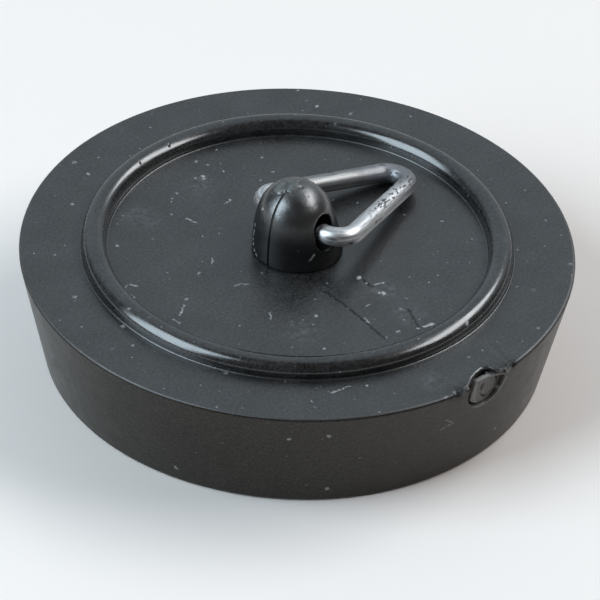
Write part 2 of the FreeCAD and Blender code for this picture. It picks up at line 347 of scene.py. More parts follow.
FINE_ROWS = 0.045
COARSE_ROWS = 0.6
SCAR_START = 19.4
SCAR_FLOOR = 6.3
SCAR_SIDE = 4.8
FINE_COLUMN = 0.115
COARSE_COLUMN = 1.0
SCAR_ANGLE = 12.0
STUB_TEARS = [(0.03, 2.5, 4), (0.02, 6.0, 5)]


def plug_outline():
    """Closed section of the plug as radius and height: top, wall, bottom rim, recess, bore."""
    underside = PLUG_HEIGHT - PLATE_THICKNESS
    recess_mouth = BASE_RADIUS - SKIRT_WALL
    recess_top = recess_mouth - math.tan(RECESS_DRAFT) * underside
    corners = [
        (BORE_RADIUS, PLUG_HEIGHT),
        (TOP_RADIUS, PLUG_HEIGHT),
        (BASE_RADIUS, 0),
        (recess_mouth, 0),
        (recess_top, underside),
        (BORE_RADIUS, underside),
    ]
    rounds = [BORE_ROUND, RIM_ROUND, BASE_ROUND, BASE_ROUND, RECESS_ROUND, BORE_ROUND]
    outline = []
    for number, (corner, radius) in enumerate(zip(corners, rounds)):
        after = corners[(number + 1) % len(corners)]
        outline += rounded(corners[number - 1], corner, after, radius)
        if number == 0:
            outline += bead_outline()
    return fill_runs(outline, row_spacing)


def bead_outline():
    """The bead's upright sides and round top, with a small fillet at each foot."""
    away = BEAD_HALF_WIDTH + BEAD_FILLET
    level = PLUG_HEIGHT + BEAD_FILLET
    points = arc((BEAD_RADIUS - away, level), BEAD_FILLET, -90, 0, 5)
    points += arc((BEAD_RADIUS, PLUG_HEIGHT + BEAD_RISE), BEAD_HALF_WIDTH, 180, 0, 32)
    points += arc((BEAD_RADIUS + away, level), BEAD_FILLET, 180, 270, 5)
    return points


def row_spacing(place):
    """Rows lie close together where the gate scar is, and far apart elsewhere."""
    radius, height = place
    by_the_scar = radius > SCAR_START and height > SCAR_FLOOR
    return FINE_ROWS if by_the_scar else COARSE_ROWS


def column_angles():
    """Angles round the plug, close together at the gate scar."""
    fine = np.arange(-SCAR_ANGLE, SCAR_ANGLE, FINE_COLUMN)
    coarse = np.arange(SCAR_ANGLE, 360 - SCAR_ANGLE, COARSE_COLUMN)
    return GATE_AZIMUTH + np.radians(np.concatenate([fine, coarse]))


def inside_pocket(side, level):
    """Distance in from the pocket's outline on the wall, below zero outside."""
    return POCKET_RADIUS - np.hypot(side - POCKET_SIDE, level - POCKET_LEVEL)


def scar_edge(side):
    """How far out the torn edge of the plug's top lies."""
    shifts = np.linspace(-EDGE_BLUR, EDGE_BLUR, 5)
    depths = [np.interp(side + shift, SCAR_EDGE_SIDES, SCAR_EDGE_DEPTHS) for shift in shifts]
    return np.sqrt(TOP_RADIUS ** 2 - side ** 2) - np.mean(depths, axis=0)


def near_line(first, second, begin, end):
    """Distance of some points from a straight line between two places."""
    run = np.array(end) - np.array(begin)
    offset = np.stack([first, second], axis=1) - np.array(begin)
    share = np.clip(offset @ run / (run @ run), 0, 1)
    return np.linalg.norm(offset - share[:, None] * run, axis=1)


def stub_surface(side, level):
    """Broken face of the stub: folded back at its left, with a round mark where the gate tore off."""
    from_mark = np.hypot(side - MARK_SIDE, level - MARK_LEVEL)
    below = smooth_step(*MARK_FADE, (level - MARK_LEVEL) + MARK_FADE_TILT * (side - MARK_SIDE))
    groove = -MARK_GROOVE * bump(from_mark - MARK_RADIUS, MARK_LINE) * below
    ridge = MARK_RIDGE * bump(from_mark - MARK_RADIUS + MARK_RIDGE_INSET, MARK_LINE) * below
    torn = ruffle(np.stack([side, level, np.zeros_like(side)], axis=1), STUB_TEARS)
    folded = STUB_FOLD_SLOPE * np.maximum(stub_fold(level) - side, 0)
    return STUB_FACE - folded - stub_top(level) + groove + ridge + torn


def stub_top(level):
    """How far the sloped top of the stub and the bridge falls back."""
    return STUB_TOP_SLOPE * np.maximum(level - STUB_TOP + STUB_TOP_DEPTH, 0)


def stub_fold(level):
    """Side at which the stub's face folds back."""
    return STUB_FOLD - STUB_FOLD_LEAN * (STUB_TOP - level)


def stub_parts(side, height):
    """How far a place is in from the pocket's outline, and whether it is on the stub or on the bridge."""
    within = inside_pocket(side, height)
    left = STUB_LEFT - STUB_LEFT_LEAN * (STUB_TOP - height)
    beyond_mark = np.maximum(side - MARK_SIDE, 0)
    right = STUB_ROUND - np.hypot(beyond_mark, np.maximum(height - MARK_LEVEL, 0) * (beyond_mark > 0))
    stub = within - STUB_GROOVE
    for limit, width in zip((side - left, right, STUB_TOP - height), STUB_BLENDS):
        stub = smooth_min(stub, limit, width)
    bridge = BRIDGE_HALF_WIDTH - near_line(side, height, *BRIDGE)
    return within, smooth_step(*STUB_STEP, stub), smooth_step(*BRIDGE_STEP, bridge)


def wall_lip(within, side):
    """Thin flash along the pocket's outline, at its right and below."""
    along = smooth_step(*LIP_SIDES, side)
    return bump(within + LIP_WIDTH / 2, LIP_WIDTH) * along * (within < LIP_OVERLAP)


def pressed_wall(out, side, height):
    """How far out the wall lies at the scar: pocket, stub and the bridge to the right-hand corner."""
    within, on_stub, on_bridge = stub_parts(side, height)
    on_shelf = smooth_step(*SHELF_SIDES, side) * smooth_step(*SHELF_LEVELS, height)
    floor = blend(POCKET_FLOOR, SHELF_FLOOR, on_shelf)
    line = np.interp(side, BRIDGE_SIDES, (STUB_TOP, BRIDGE[1][1]))
    behind = smooth_step(-GAP_STEP, GAP_STEP, height - line)
    flush = scar_edge(side) - EDGE_INSET
    gap = blend(np.minimum(GAP_FLOOR, flush), flush, smooth_step(GAP_END - GAP_RUN_OUT, GAP_END, side))
    floor = blend(floor, gap, behind)
    surface = blend(out, floor, smooth_step(0, POCKET_SLOPE, within))
    surface = blend(surface, np.minimum(stub_surface(side, height), out), on_stub)
    bridge = np.interp(side, BRIDGE_SIDES, BRIDGE_OUT) - stub_top(height)
    surface = blend(surface, np.minimum(bridge, out), on_bridge)
    surface = surface + LIP_HEIGHT * wall_lip(within, side)
    torn_edge = np.minimum(scar_edge(side), out)
    return blend(surface, torn_edge, smooth_step(PLUG_HEIGHT - EDGE_THICKNESS, PLUG_HEIGHT, height))


def scar_place(points):
    """Points near the scar, with their distance out, side and height there."""
    outward = np.array([math.cos(GATE_AZIMUTH), math.sin(GATE_AZIMUTH), 0])
    along = np.array([-math.sin(GATE_AZIMUTH), math.cos(GATE_AZIMUTH), 0])
    near = (points @ outward > SCAR_START) & (np.abs(points @ along) < SCAR_SIDE)
    near &= points[:, 2] > SCAR_FLOOR
    return near, outward, points[near] @ outward, points[near] @ along, points[near, 2]


def with_zeros(near, values):
    """Values of the points near the scar, with zero for all others."""
    result = np.zeros(len(near))
    result[near] = values
    return result


def from_rim(along, out, side, height):
    """Distance from a place on the plug's rim."""
    return np.linalg.norm([side - along, height - PLUG_HEIGHT, out - TOP_RADIUS], axis=0)


def whitened_and_lit(points):
    """Whitening from tearing on the stub, and painted light, palest on its fold and top: also the bridge, the
    lip, a shaded shelf, glints and the torn corners.
    """
    near, _, out, side, height = scar_place(points)
    within, on_stub, on_bridge = stub_parts(side, height)
    fold = smooth_step(PALE_FOLD_STEP, -PALE_FOLD_STEP, side - stub_fold(height))
    top = smooth_step(STUB_TOP - 2 * STUB_TOP_DEPTH, STUB_TOP - STUB_TOP_DEPTH, height)
    shelf = smooth_step(*PALE_SHELF_WITHIN, within) * smooth_step(*PALE_SHELF_SIDES, side)
    # The torn stub is whitened; its fold and top are made palest as painted light
    pale = on_stub * blend(PALE_FACE, 1, np.maximum(fold, top))
    # Painted light on the bridge's top and along the lip
    pale = pale + PALE_EDGE * (on_bridge + wall_lip(within, side))
    # Painted light that lightens the shelf in the pocket's shade
    pale = np.maximum(pale, PALE_SHELF * shelf)
    # Painted glints on the stub's face
    for spot in PALE_SPOTS:
        pale += bump(np.hypot(side - spot[0], height - spot[1]), PALE_SPOT_RADIUS)
    pale = pale * (height < PLUG_HEIGHT - ON_TOP)
    # Painted highlights at the torn corners of the rim
    for _, along in TORN_CORNERS:
        pale += bump(from_rim(along, out, side, height), PALE_CORNER_RADIUS)
    return with_zeros(near, np.clip(pale, 0, 1))


def dulled(points):
    """Where the rim has lost its shine: round the torn corners and the dimples beside them."""
    near, _, out, side, height = scar_place(points)
    places = TORN_CORNERS + DIMPLES
    dull = [bump(from_rim(along, out, side, height), DULL_RADIUS) for _, along in places]
    return with_zeros(near, np.max(dull, axis=0))


def cut_scar(points):
    """Press the gate scar into the rim: pocket, stub, torn edge and corners, dimples and wrinkles."""
    near, outward, out, side, height = scar_place(points)
    on_top = np.abs(height - PLUG_HEIGHT) < ON_TOP
    rim = np.sqrt(TOP_RADIUS ** 2 - side ** 2)
    edge = scar_edge(side)
    share = np.clip((out - SCAR_START) / (rim - SCAR_START), 0, 1)
    top_out = SCAR_START + share * (edge - SCAR_START)
    new_out = np.where(on_top, top_out, pressed_wall(out, side, height))
    cut_here = smooth_step(*RIDGE_CUTS, rim - edge)
    rise = LIP_HEIGHT * bump(edge - top_out - RIDGE_INSET, RIDGE_WIDTH) * cut_here * on_top
    within, on_stub, on_bridge = stub_parts(side, height)
    in_gap = smooth_step(*GAP_DROP_LOW, height) * smooth_step(*GAP_DROP_HIGH, height)
    in_gap = in_gap * smooth_step(*GAP_DROP_WITHIN, within) * smooth_step(*GAP_DROP_SIDES, side)
    rise -= GAP_DROP * in_gap * (1 - on_stub) * (1 - on_bridge)

    for corner in TORN_CORNERS:
        from_corner = np.hypot(new_out - corner[0], side - corner[1])
        rise += CORNER_RISE * bump(from_corner, CORNER_RADIUS) * (height > PLUG_HEIGHT - RIM_ROUND)
    for dimple in DIMPLES:
        offset = [new_out - dimple[0], side - dimple[1], height - PLUG_HEIGHT]
        pressed = bump(np.linalg.norm(offset, axis=0), DIMPLE_RADIUS)
        rise -= DIMPLE_DEPTH * pressed
        new_out = new_out - DIMPLE_INSET * pressed
    for begin, end, lift in WRINKLES:
        rise += lift * bump(near_line(new_out, side, begin, end), WRINKLE_WIDTH) * on_top

    moved = points.copy()
    moved[near] += np.outer(new_out - out, outward)
    moved[near, 2] = height + rise
    return moved


def make_plug():
    outline = plug_outline()
    angles = column_angles()
    rows, columns = len(outline), len(angles)
    spokes = np.stack([np.cos(angles), np.sin(angles)], axis=1)
    flat = outline[None, :, 0, None] * spokes[:, None, :]
    heights = np.broadcast_to(outline[None, :, 1, None], (columns, rows, 1))
    points = np.concatenate([flat, heights], axis=2).reshape(-1, 3)
    faces = []
    for column in range(columns):
        faces += ring_faces(column * rows, (column + 1) % columns * rows, rows)
    piece = new_piece("plug_skin", cut_scar(points), faces, "plug", "plug_body")
    add_attribute(piece, "whitened_and_lit", whitened_and_lit(points))
    add_attribute(piece, "dulled", dulled(points))
    # the matt wall starts in the middle of the rim's round
    matt = outline[:, 1] < PLUG_HEIGHT - RIM_ROUND / 3
    piece.data.materials.append(top_material())
    piece.data.materials.append(wall_material())
    piece.data.polygons.foreach_set("material_index", np.tile(matt.astype(np.int32), columns))
    return piece


# Eye stud

STUD_STEP = 0.09
SEAM_STEP = 0.03
SEAM_BAND = 0.36
LEAST_SLOPE = 0.3


def head_field(radius, z):
    """Distance to the stud's domed head, below zero inside."""
    share = np.maximum(z / HEAD_HEIGHT, 0)
    width = HEAD_RADIUS - HEAD_TAPER * share
    level = (radius / width) ** 2 + share ** CROWN_POWER - 1
    outward = 2 * radius / width ** 2
    narrowing = 2 * radius ** 2 * HEAD_TAPER / width ** 3
    upward = (narrowing + CROWN_POWER * share ** (CROWN_POWER - 1)) / HEAD_HEIGHT
    return level / np.maximum(np.hypot(outward, upward), LEAST_SLOPE)


def head_axis(z):
    """Where the head's axis is at some heights: it leans to the photograph's left."""
    leftward = -np.array(camera_axes()[0].to_2d().normalized())
    share = np.maximum(z / HEAD_HEIGHT, 0)
    return HEAD_LEAN * (share ** LEAN_POWER)[..., None] * leftward


def stud_field(points):
    """Distance to the stud's surface, below zero inside. Heights count from the plug's top."""
    x, y, z = points[..., 0], points[..., 1], points[..., 2]
    radius = np.hypot(x, y)
    from_head_axis = np.linalg.norm(points[..., :2] - head_axis(z), axis=-1)
    head = smooth_max(head_field(from_head_axis, z), -z, HEAD_EDGE_ROUND)

    shank_ends = np.maximum(z - SHANK_OVERLAP, FOOT_TOP - SHANK_OVERLAP - z)
    shank = np.maximum(radius - SHANK_RADIUS, shank_ends)
    run, rise = FOOT_RADIUS - FOOT_TIP_RADIUS, FOOT_THICKNESS - FOOT_LIP
    slope = math.hypot(run, rise)
    cone = ((radius - FOOT_RADIUS) * rise - (z - FOOT_TOP + FOOT_LIP) * run) / slope
    foot = smooth_max(radius - FOOT_RADIUS, cone, FOOT_EDGE_ROUND)
    foot = smooth_max(foot, z - FOOT_TOP, FOOT_EDGE_ROUND)
    foot = smooth_max(foot, FOOT_TOP - FOOT_THICKNESS - z, FOOT_END_ROUND)

    low = EYE_BOTTOM + EYE_WIDTH / 2
    high = EYE_BOTTOM + EYE_HEIGHT - EYE_WIDTH / 2
    eye = np.hypot(x - EYE_SIDE, z - np.clip(z, low, high)) - EYE_WIDTH / 2
    return smooth_max(np.minimum(np.minimum(head, shank), foot), -eye, EYE_ROUND)


def slope_of(field, points, step=0.002):
    """Direction in which the field grows, as unit vectors."""
    parts = []
    for axis in np.eye(3) * step:
        parts.append(field(points + axis) - field(points - axis))
    slopes = np.stack(parts, axis=-1)
    return slopes / np.maximum(np.linalg.norm(slopes, axis=-1, keepdims=True), 1e-9)


def grid_surface(field, axes):
    """Four-sided faces where the field is zero on a grid, with their points moved onto the surface."""
    grid = np.stack(np.meshgrid(*axes, indexing="ij"), axis=-1)
    inside = field(grid) < 0
    sizes = [len(axis) - 1 for axis in axes]
    corners = np.zeros(sizes, dtype=int)
    for shifts in np.ndindex(2, 2, 2):
        corners += inside[tuple(slice(shift, shift + size) for shift, size in zip(shifts, sizes))]
    mixed = (corners > 0) & (corners < 8)
    cells = np.argwhere(mixed)
    numbers = np.full(sizes, -1)
    numbers[mixed] = np.arange(len(cells))
    low = np.stack([axis[cells[:, n]] for n, axis in enumerate(axes)], axis=1)
    high = np.stack([axis[cells[:, n] + 1] for n, axis in enumerate(axes)], axis=1)
    points = (low + high) / 2
    for _ in range(6):
        points = points - field(points)[:, None] * slope_of(field, points)
        points = np.clip(points, low, high)

    faces = []
    for axis in range(3):
        one, two = (axis + 1) % 3, (axis + 2) % 3
        crossing = inside != np.roll(inside, -1, axis=axis)
        crossing[tuple(-1 if n == axis else slice(None) for n in range(3))] = False
        edges = np.argwhere(crossing)
        around = []
        for back_one, back_two in ((1, 1), (0, 1), (0, 0), (1, 0)):
            cell = edges.copy()
            cell[:, one] -= back_one
            cell[:, two] -= back_two
            around.append(numbers[tuple(cell.T)])
        quads = np.stack(around, axis=1)
        leaving = inside[tuple(edges.T)]
        quads[~leaving] = quads[~leaving][:, ::-1]
        faces += quads.tolist()
    return points, faces


def stud_axes():
    """Grid lines through the stud, close together at the seam's plane."""
    reach = HEAD_RADIUS + 2 * STUD_STEP
    plain = np.arange(-reach, reach + STUD_STEP, STUD_STEP)
    seam = np.arange(-SEAM_BAND, SEAM_BAND, SEAM_STEP) + SEAM_STEP / 2
    outer = plain[np.abs(plain) > SEAM_BAND]
    across = np.sort(np.concatenate([outer, seam]))
    bottom = FOOT_TOP - FOOT_THICKNESS - 2 * STUD_STEP
    heights = np.arange(bottom, HEAD_HEIGHT + 2 * STUD_STEP, STUD_STEP)
    return plain, across, heights


# Patch on the crown where the sprue was torn off, with a step at its front, and dents all over the head.
# The step is cut to a share of the seam's depth.
TORN_PLACE = np.array([-0.42, 0.46])
TORN_RADIUS = 1.05
TORN_LOWEST = 4.0
TORN_FADE = 0.2
TORN_OUTLINE = [(0.35, 1.6, 3)]
TORN_RISE = 0.03
TORN_ROUGHNESS = [(0.035, 2.0, 1), (0.0175, 5.0, 2)]
STEP_OUT = 0.06
STEP_WIDTH = 0.09
STEP_SHARE = 0.8
STEP_FRONT = (0.1, 0.5)
DENTS = [(0.008, 1.1, 6), (0.003, 3.0, 7)]
HEAD_START = 0.02
EYE_MARGIN = 0.2
EYE_SIDE_MARGIN = 0.3


def make_stud():
    points, faces = grid_surface(stud_field, stud_axes())
    turn = np.array(Matrix.Rotation(SEAM_TURN, 3, "Z"))
    normals = slope_of(stud_field, points)
    across, height = points[:, 0], points[:, 2]
    from_eye = np.hypot(across, height - EYE_BOTTOM - EYE_HEIGHT / 2)
    outside = from_eye > EYE_HEIGHT / 2 + EYE_MARGIN
    outside |= np.abs(across) > EYE_WIDTH / 2 + EYE_SIDE_MARGIN
    outside &= height > HEAD_START
    upright = points[:, :2] - head_axis(height)
    seam = outside * bump((upright @ turn[:2, :2])[:, 1], SEAM_WIDTH)

    from_tear = upright - TORN_PLACE
    ragged = np.hypot(*from_tear.T) + ruffle(points, TORN_OUTLINE) - TORN_RADIUS
    torn = smooth_step(0, -TORN_FADE, ragged) * (height > TORN_LOWEST)
    in_front = smooth_step(*STEP_FRONT, from_tear @ np.array(direction(0, 0))[:2])
    step = bump(ragged - STEP_OUT, STEP_WIDTH) * in_front * (height > TORN_LOWEST)
    seam = np.maximum(seam * (1 - torn), STEP_SHARE * step)
    lift = torn * (TORN_RISE + ruffle(points, TORN_ROUGHNESS)) - SEAM_DEPTH * seam
    lift += outside * ruffle(points, DENTS)
    points = points + normals * lift[:, None]
    points[:, 2] += PLUG_HEIGHT
    piece = new_piece("eye_stud_skin", points, faces, "stud", "eye_stud")
    add_attribute(piece, "torn", torn)
    # The material paints the seam and the step dark, as painted shade in their grooves
    add_attribute(piece, "seam", seam)
    piece.data.materials.append(stud_material())
    return piece


# Wire triangle

WIRE_SIDES = 48
WIRE_STEP = 0.08
BEND_STEPS = 24
TIP_STEPS = 40
WIRE_END_LEAST = 0.05


def wire_route():
    """Points along the wire's centre line, from its front end in the eye round the tip to its back end."""
    tip = np.array([TRIANGLE_REACH - BEND_RADIUS, TIP_OFFSET])
    front = np.array([BEND_RADIUS, BEND_RADIUS - FRONT_CORNER])
    back = np.array([BEND_RADIUS, BACK_CORNER - BEND_RADIUS])
    front_turn = math.degrees(math.atan2(*(tip - front)[::-1]))
    back_turn = math.degrees(math.atan2(*(tip - back)[::-1]))
    points = [(0.0, -WIRE_END_GAP / 2)]
    points += arc(front, BEND_RADIUS, 180, 270 + front_turn, BEND_STEPS)
    points += arc(tip, BEND_RADIUS, front_turn - 90, back_turn + 90, TIP_STEPS)
    points += arc(back, BEND_RADIUS, back_turn + 90, 180, BEND_STEPS)
    points += [(0.0, WIRE_END_GAP / 2)]
    return np.array(points)


def even_route(points, step):
    """The same line with points at even distances along it, and those distances."""
    lengths = np.linalg.norm(np.diff(points, axis=0), axis=1)
    marks = np.concatenate([[0], np.cumsum(lengths)])
    places = np.linspace(0, marks[-1], math.ceil(marks[-1] / step) + 1)
    return np.stack([np.interp(places, marks, points[:, n]) for n in (0, 1)], axis=1), places


def make_triangle():
    route, places = even_route(wire_route(), WIRE_STEP)
    ahead = np.gradient(route, axis=0)
    ahead /= np.linalg.norm(ahead, axis=1, keepdims=True)
    sideways = np.stack([ahead[:, 1], -ahead[:, 0]], axis=1)
    from_end = np.minimum(places, places[-1] - places)
    dome = np.clip(1 - from_end / WIRE_END_DOME, 0, 1)
    radii = WIRE_RADIUS * np.sqrt(np.maximum(1 - dome ** 2, WIRE_END_LEAST ** 2))
    angles = np.linspace(0, 2 * math.pi, WIRE_SIDES, endpoint=False)
    points, straight = [], []
    for place, side, radius, distance in zip(route, sideways, radii, places):
        for angle in angles:
            flat = place + side * radius * math.cos(angle)
            points.append((flat[0], flat[1], radius * math.sin(angle)))
            straight.append((WIRE_RADIUS * math.cos(angle), WIRE_RADIUS * math.sin(angle), distance))
    faces = []
    for ring in range(len(route) - 1):
        faces += ring_faces((ring + 1) * WIRE_SIDES, ring * WIRE_SIDES, WIRE_SIDES)
    last = (len(route) - 1) * WIRE_SIDES
    faces.append(tuple(range(WIRE_SIDES)))
    faces.append(tuple(last + n for n in reversed(range(WIRE_SIDES))))
    tilt = Matrix.Rotation(math.asin(TIP_FALL / TRIANGLE_REACH), 3, "Y")
    turn = np.array(tilt @ Matrix.Rotation(-TRIANGLE_LEAN, 3, "X"))
    placed = np.array(points) @ turn.T + np.array([0, 0, PIVOT_HEIGHT])
    piece = new_piece("pull_triangle_skin", placed, faces, "triangle", "pull_triangle")
    add_attribute(piece, "straight", straight)
    add_attribute(piece, "from_tip", np.abs(np.array(straight)[:, 2] - places[-1] / 2))
    piece.data.materials.append(wire_material())
    return piece


# Materials

class Graph:
    """The shader nodes of a material or of the world."""

    def __init__(self, owner, shader="BsdfPrincipled", output="OutputMaterial"):
        owner.use_nodes = True
        self.owner = owner
        self.nodes = owner.node_tree.nodes
        self.links = owner.node_tree.links
        self.nodes.clear()
        self.shader = self.node(shader, {})
        self.links.new(self.shader.outputs[0], self.node(output, {}).inputs["Surface"])

    def node(self, kind, inputs, **settings):
        made = self.nodes.new("ShaderNode" + kind)
        for name, value in settings.items():
            setattr(made, name, value)
        for name, value in inputs.items():
            self.put(made.inputs[name], value)
        return made

    def put(self, socket, value):
        if isinstance(value, bpy.types.NodeSocket):
            self.links.new(value, socket)
        else:
            socket.default_value = value

    def set(self, **values):
        """Give the shader its values, with underscores for spaces."""
        for name, value in values.items():
            self.put(self.shader.inputs[name.replace("_", " ")], value)

    def math(self, operation, *values, clamp=False):
        made = self.node("Math", dict(enumerate(values)), operation=operation, use_clamp=clamp)
        return made.outputs[0]

    def times(self, first, second):
        return self.math("MULTIPLY", first, second)

    def vector(self, operation, *values):
        made = self.node("VectorMath", dict(enumerate(values)), operation=operation)
        number = operation in ("LENGTH", "DISTANCE", "DOT_PRODUCT")
        return made.outputs["Value"] if number else made.outputs["Vector"]

    def scale(self, value, factor):
        return self.node("VectorMath", {0: value, "Scale": factor}, operation="SCALE").outputs["Vector"]

    def place(self):
        """Position on the object in millimetres."""
        return self.scale(self.node("TexCoord", {}).outputs["Object"], 1 / MM)

    def noise(self, where, scale, detail=3.0, roughness=0.55):
        inputs = {"Vector": where, "Scale": scale, "Detail": detail, "Roughness": roughness}
        return self.node("TexNoise", inputs).outputs["Fac"]

    def wander(self, where, scale, amount):
        """Places shifted at random, by which round spots and straight lines come out ragged."""
        colour = self.node("TexNoise", {"Vector": where, "Scale": scale}).outputs["Color"]
        return self.vector("ADD", where, self.scale(self.vector("SUBTRACT", colour, (0.5, 0.5, 0.5)), amount))

    def ramp(self, value, low, high, out_low=0.0, out_high=1.0):
        """Map a range of a value to another range, clamped at both ends."""
        inputs = {"Value": value, "From Min": low, "From Max": high, "To Min": out_low, "To Max": out_high}
        return self.node("MapRange", inputs, clamp=True).outputs["Result"]

    def mix(self, share, first, second):
        made = self.node("Mix", {}, data_type="RGBA")
        self.put(made.inputs[0], share)
        self.put(made.inputs[6], first)
        self.put(made.inputs[7], second)
        return made.outputs[2]

    def bumps(self, height, distance, normal=None):
        inputs = {"Height": height, "Distance": distance * MM}
        if normal is not None:
            inputs["Normal"] = normal
        return self.node("Bump", inputs).outputs["Normal"]

    def attribute(self, name, kind="Fac"):
        return self.node("Attribute", {}, attribute_name=name).outputs[kind]

    def specks(self, where, scale, smallest, largest, share):
        """Soft specks of random size at a share of some scattered points, most of them faint."""
        cells = self.node("TexVoronoi", {"Vector": where, "Scale": scale})
        distance = self.math("DIVIDE", cells.outputs["Distance"], scale)
        parts = self.node("SeparateColor", {"Color": cells.outputs["Color"]}).outputs
        chosen = self.math("LESS_THAN", parts["Green"], share)
        size = self.ramp(parts["Red"], 0.0, 1.0, smallest, largest)
        spot = self.ramp(self.math("DIVIDE", distance, size), 1.0, 0.2)
        strength = self.ramp(self.math("POWER", parts["Blue"], 2.0), 0.0, 1.0, 0.15, 1.0)
        return self.times(self.times(spot, strength), chosen)

    def stroke(self, where, begin, end, width):
        """A soft line from one place to another."""
        run = Vector(end) - Vector(begin)
        offset = self.vector("SUBTRACT", where, begin)
        share = self.ramp(self.vector("DOT_PRODUCT", offset, run / run.length_squared), 0.0, 1.0)
        gap = self.vector("DISTANCE", offset, self.scale(run, share))
        return self.ramp(gap, width, width * 0.2)

    def spot(self, where, middle, radius):
        """A soft round spot."""
        return self.ramp(self.vector("DISTANCE", where, middle), radius, radius * 0.2)

    def stretch(self, value, marks):
        """One between the inner two of four marks, falling to zero at the outer two."""
        rising = self.ramp(value, marks[0], marks[1])
        falling = self.ramp(value, marks[3], marks[2])
        return self.times(rising, falling)

    def most(self, values):
        """The greatest of some values, each compared as soon as it is made."""
        result = None
        for value in values:
            result = value if result is None else self.math("MAXIMUM", result, value)
        return result


def grey(level, warmth=0.0):
    return (level * (1 + warmth), level, level * (1 - warmth), 1.0)


# Marks at pixels of the photograph: lint and pale streaks, dark scratches, dust specks, pale chips,
# dark nicks, a painted highlight on a cut across the bead, patches of haze with their radius, and marks on
# the wall
LINT = [
    [(137, 286), (128, 284.5), (124, 288), (127, 293), (135, 298)],
    [(184.5, 305), (179.7, 315.4)],
    [(173, 319), (179.7, 323)],
    [(186.5, 218.7), (196, 222.5)],
    [(234, 285.5), (241, 283.5), (248.6, 284.4)],
    [(224.7, 203.4), (230.5, 199.6)],
    [(212.3, 258), (212.3, 263)],
    [(270.6, 313), (270.6, 319)],
    [(331.6, 393), (350, 386)],
    [(375.7, 284.6), (383, 282.7)],
    [(366, 306.5), (369.5, 304)],
    [(364.3, 318), (370, 323)],
]
SCRATCHES = [
    [(325.7, 291.4), (350, 309), (366, 323), (384.3, 338.6)],
    [(408, 309.3), (418.6, 327)],
    [(363, 280), (372, 287)],
]
SPECKS = [
    (73.6, 162), (99, 157.5), (88, 174), (55, 255), (74.5, 297), (171, 214.5), (204, 178.5), (262, 273),
    (199, 273), (123, 216), (133, 345), (217, 407), (225, 373), (324.3, 348.6), (186, 299), (303, 319.3),
    (315.7, 315.7), (349, 308.6), (358.6, 278), (366, 283), (379.5, 293), (384, 293), (400.7, 308.6),
    (406.4, 298.6), (350.7, 113.5), (546, 220.6), (570.7, 264), (516, 286.6), (538, 328), (379, 412),
    (446, 397), (315, 407), (196.5, 161.5), (208, 165), (177, 193), (173, 198.5), (73, 204), (387, 337.5),
    (418, 328.5),
]
CHIPS = [[(425, 326.6), (432, 323.8)], [(358.2, 278.6), (359, 277.2)], [(383, 291.8), (384.4, 294.2)]]
NICKS = [((168.5, 143), (171.5, 153)), ((482, 211), (486, 217)), ((139, 162), (143, 166))]
HAZE = [
    ((135, 216), 2.2), ((146, 220), 1.6), ((200, 185), 2.0), ((385, 290), 1.8), ((410, 315), 2.0),
    ((300, 330), 2.4), ((432, 381), 1.6),
]
WALL_SPECKS = [(328.7, 436), (495, 428), (327, 488.5), (176, 467.5), (289, 439)]
WALL_SCRATCH = [(440.6, 430), (453, 422.5), (447, 420)]
LINT_WIDTH = 0.12
CHIP_WIDTH = 0.2
SCRATCH_WIDTH = 0.2
NICK_WIDTH = 0.12
BEAD_CUT_GLINT = [(466, 321), (471.5, 331.5)]
CUT_GLINT_LEVEL = PLUG_HEIGHT + 1.0
NICK_LEVEL = PLUG_HEIGHT + 1.2
SPECK_RADIUS = 0.24
SPECK_SIZES = [1.0, 0.65, 0.85, 0.55]
SPECK_WANDER = 0.45
DUST_COLOUR = (0.4, 0.41, 0.42, 1.0)
WALL_SHINE = (0.97, 0.92, 0.84, 1.0)


def top_place(pixel):
    return on_level(pixel, PLUG_HEIGHT)


def strokes_on_top(graph, place, lines, width):
    runs = [run for line in lines for run in zip(line, line[1:])]
    return graph.most(graph.stroke(place, top_place(begin), top_place(end), width) for begin, end in runs)


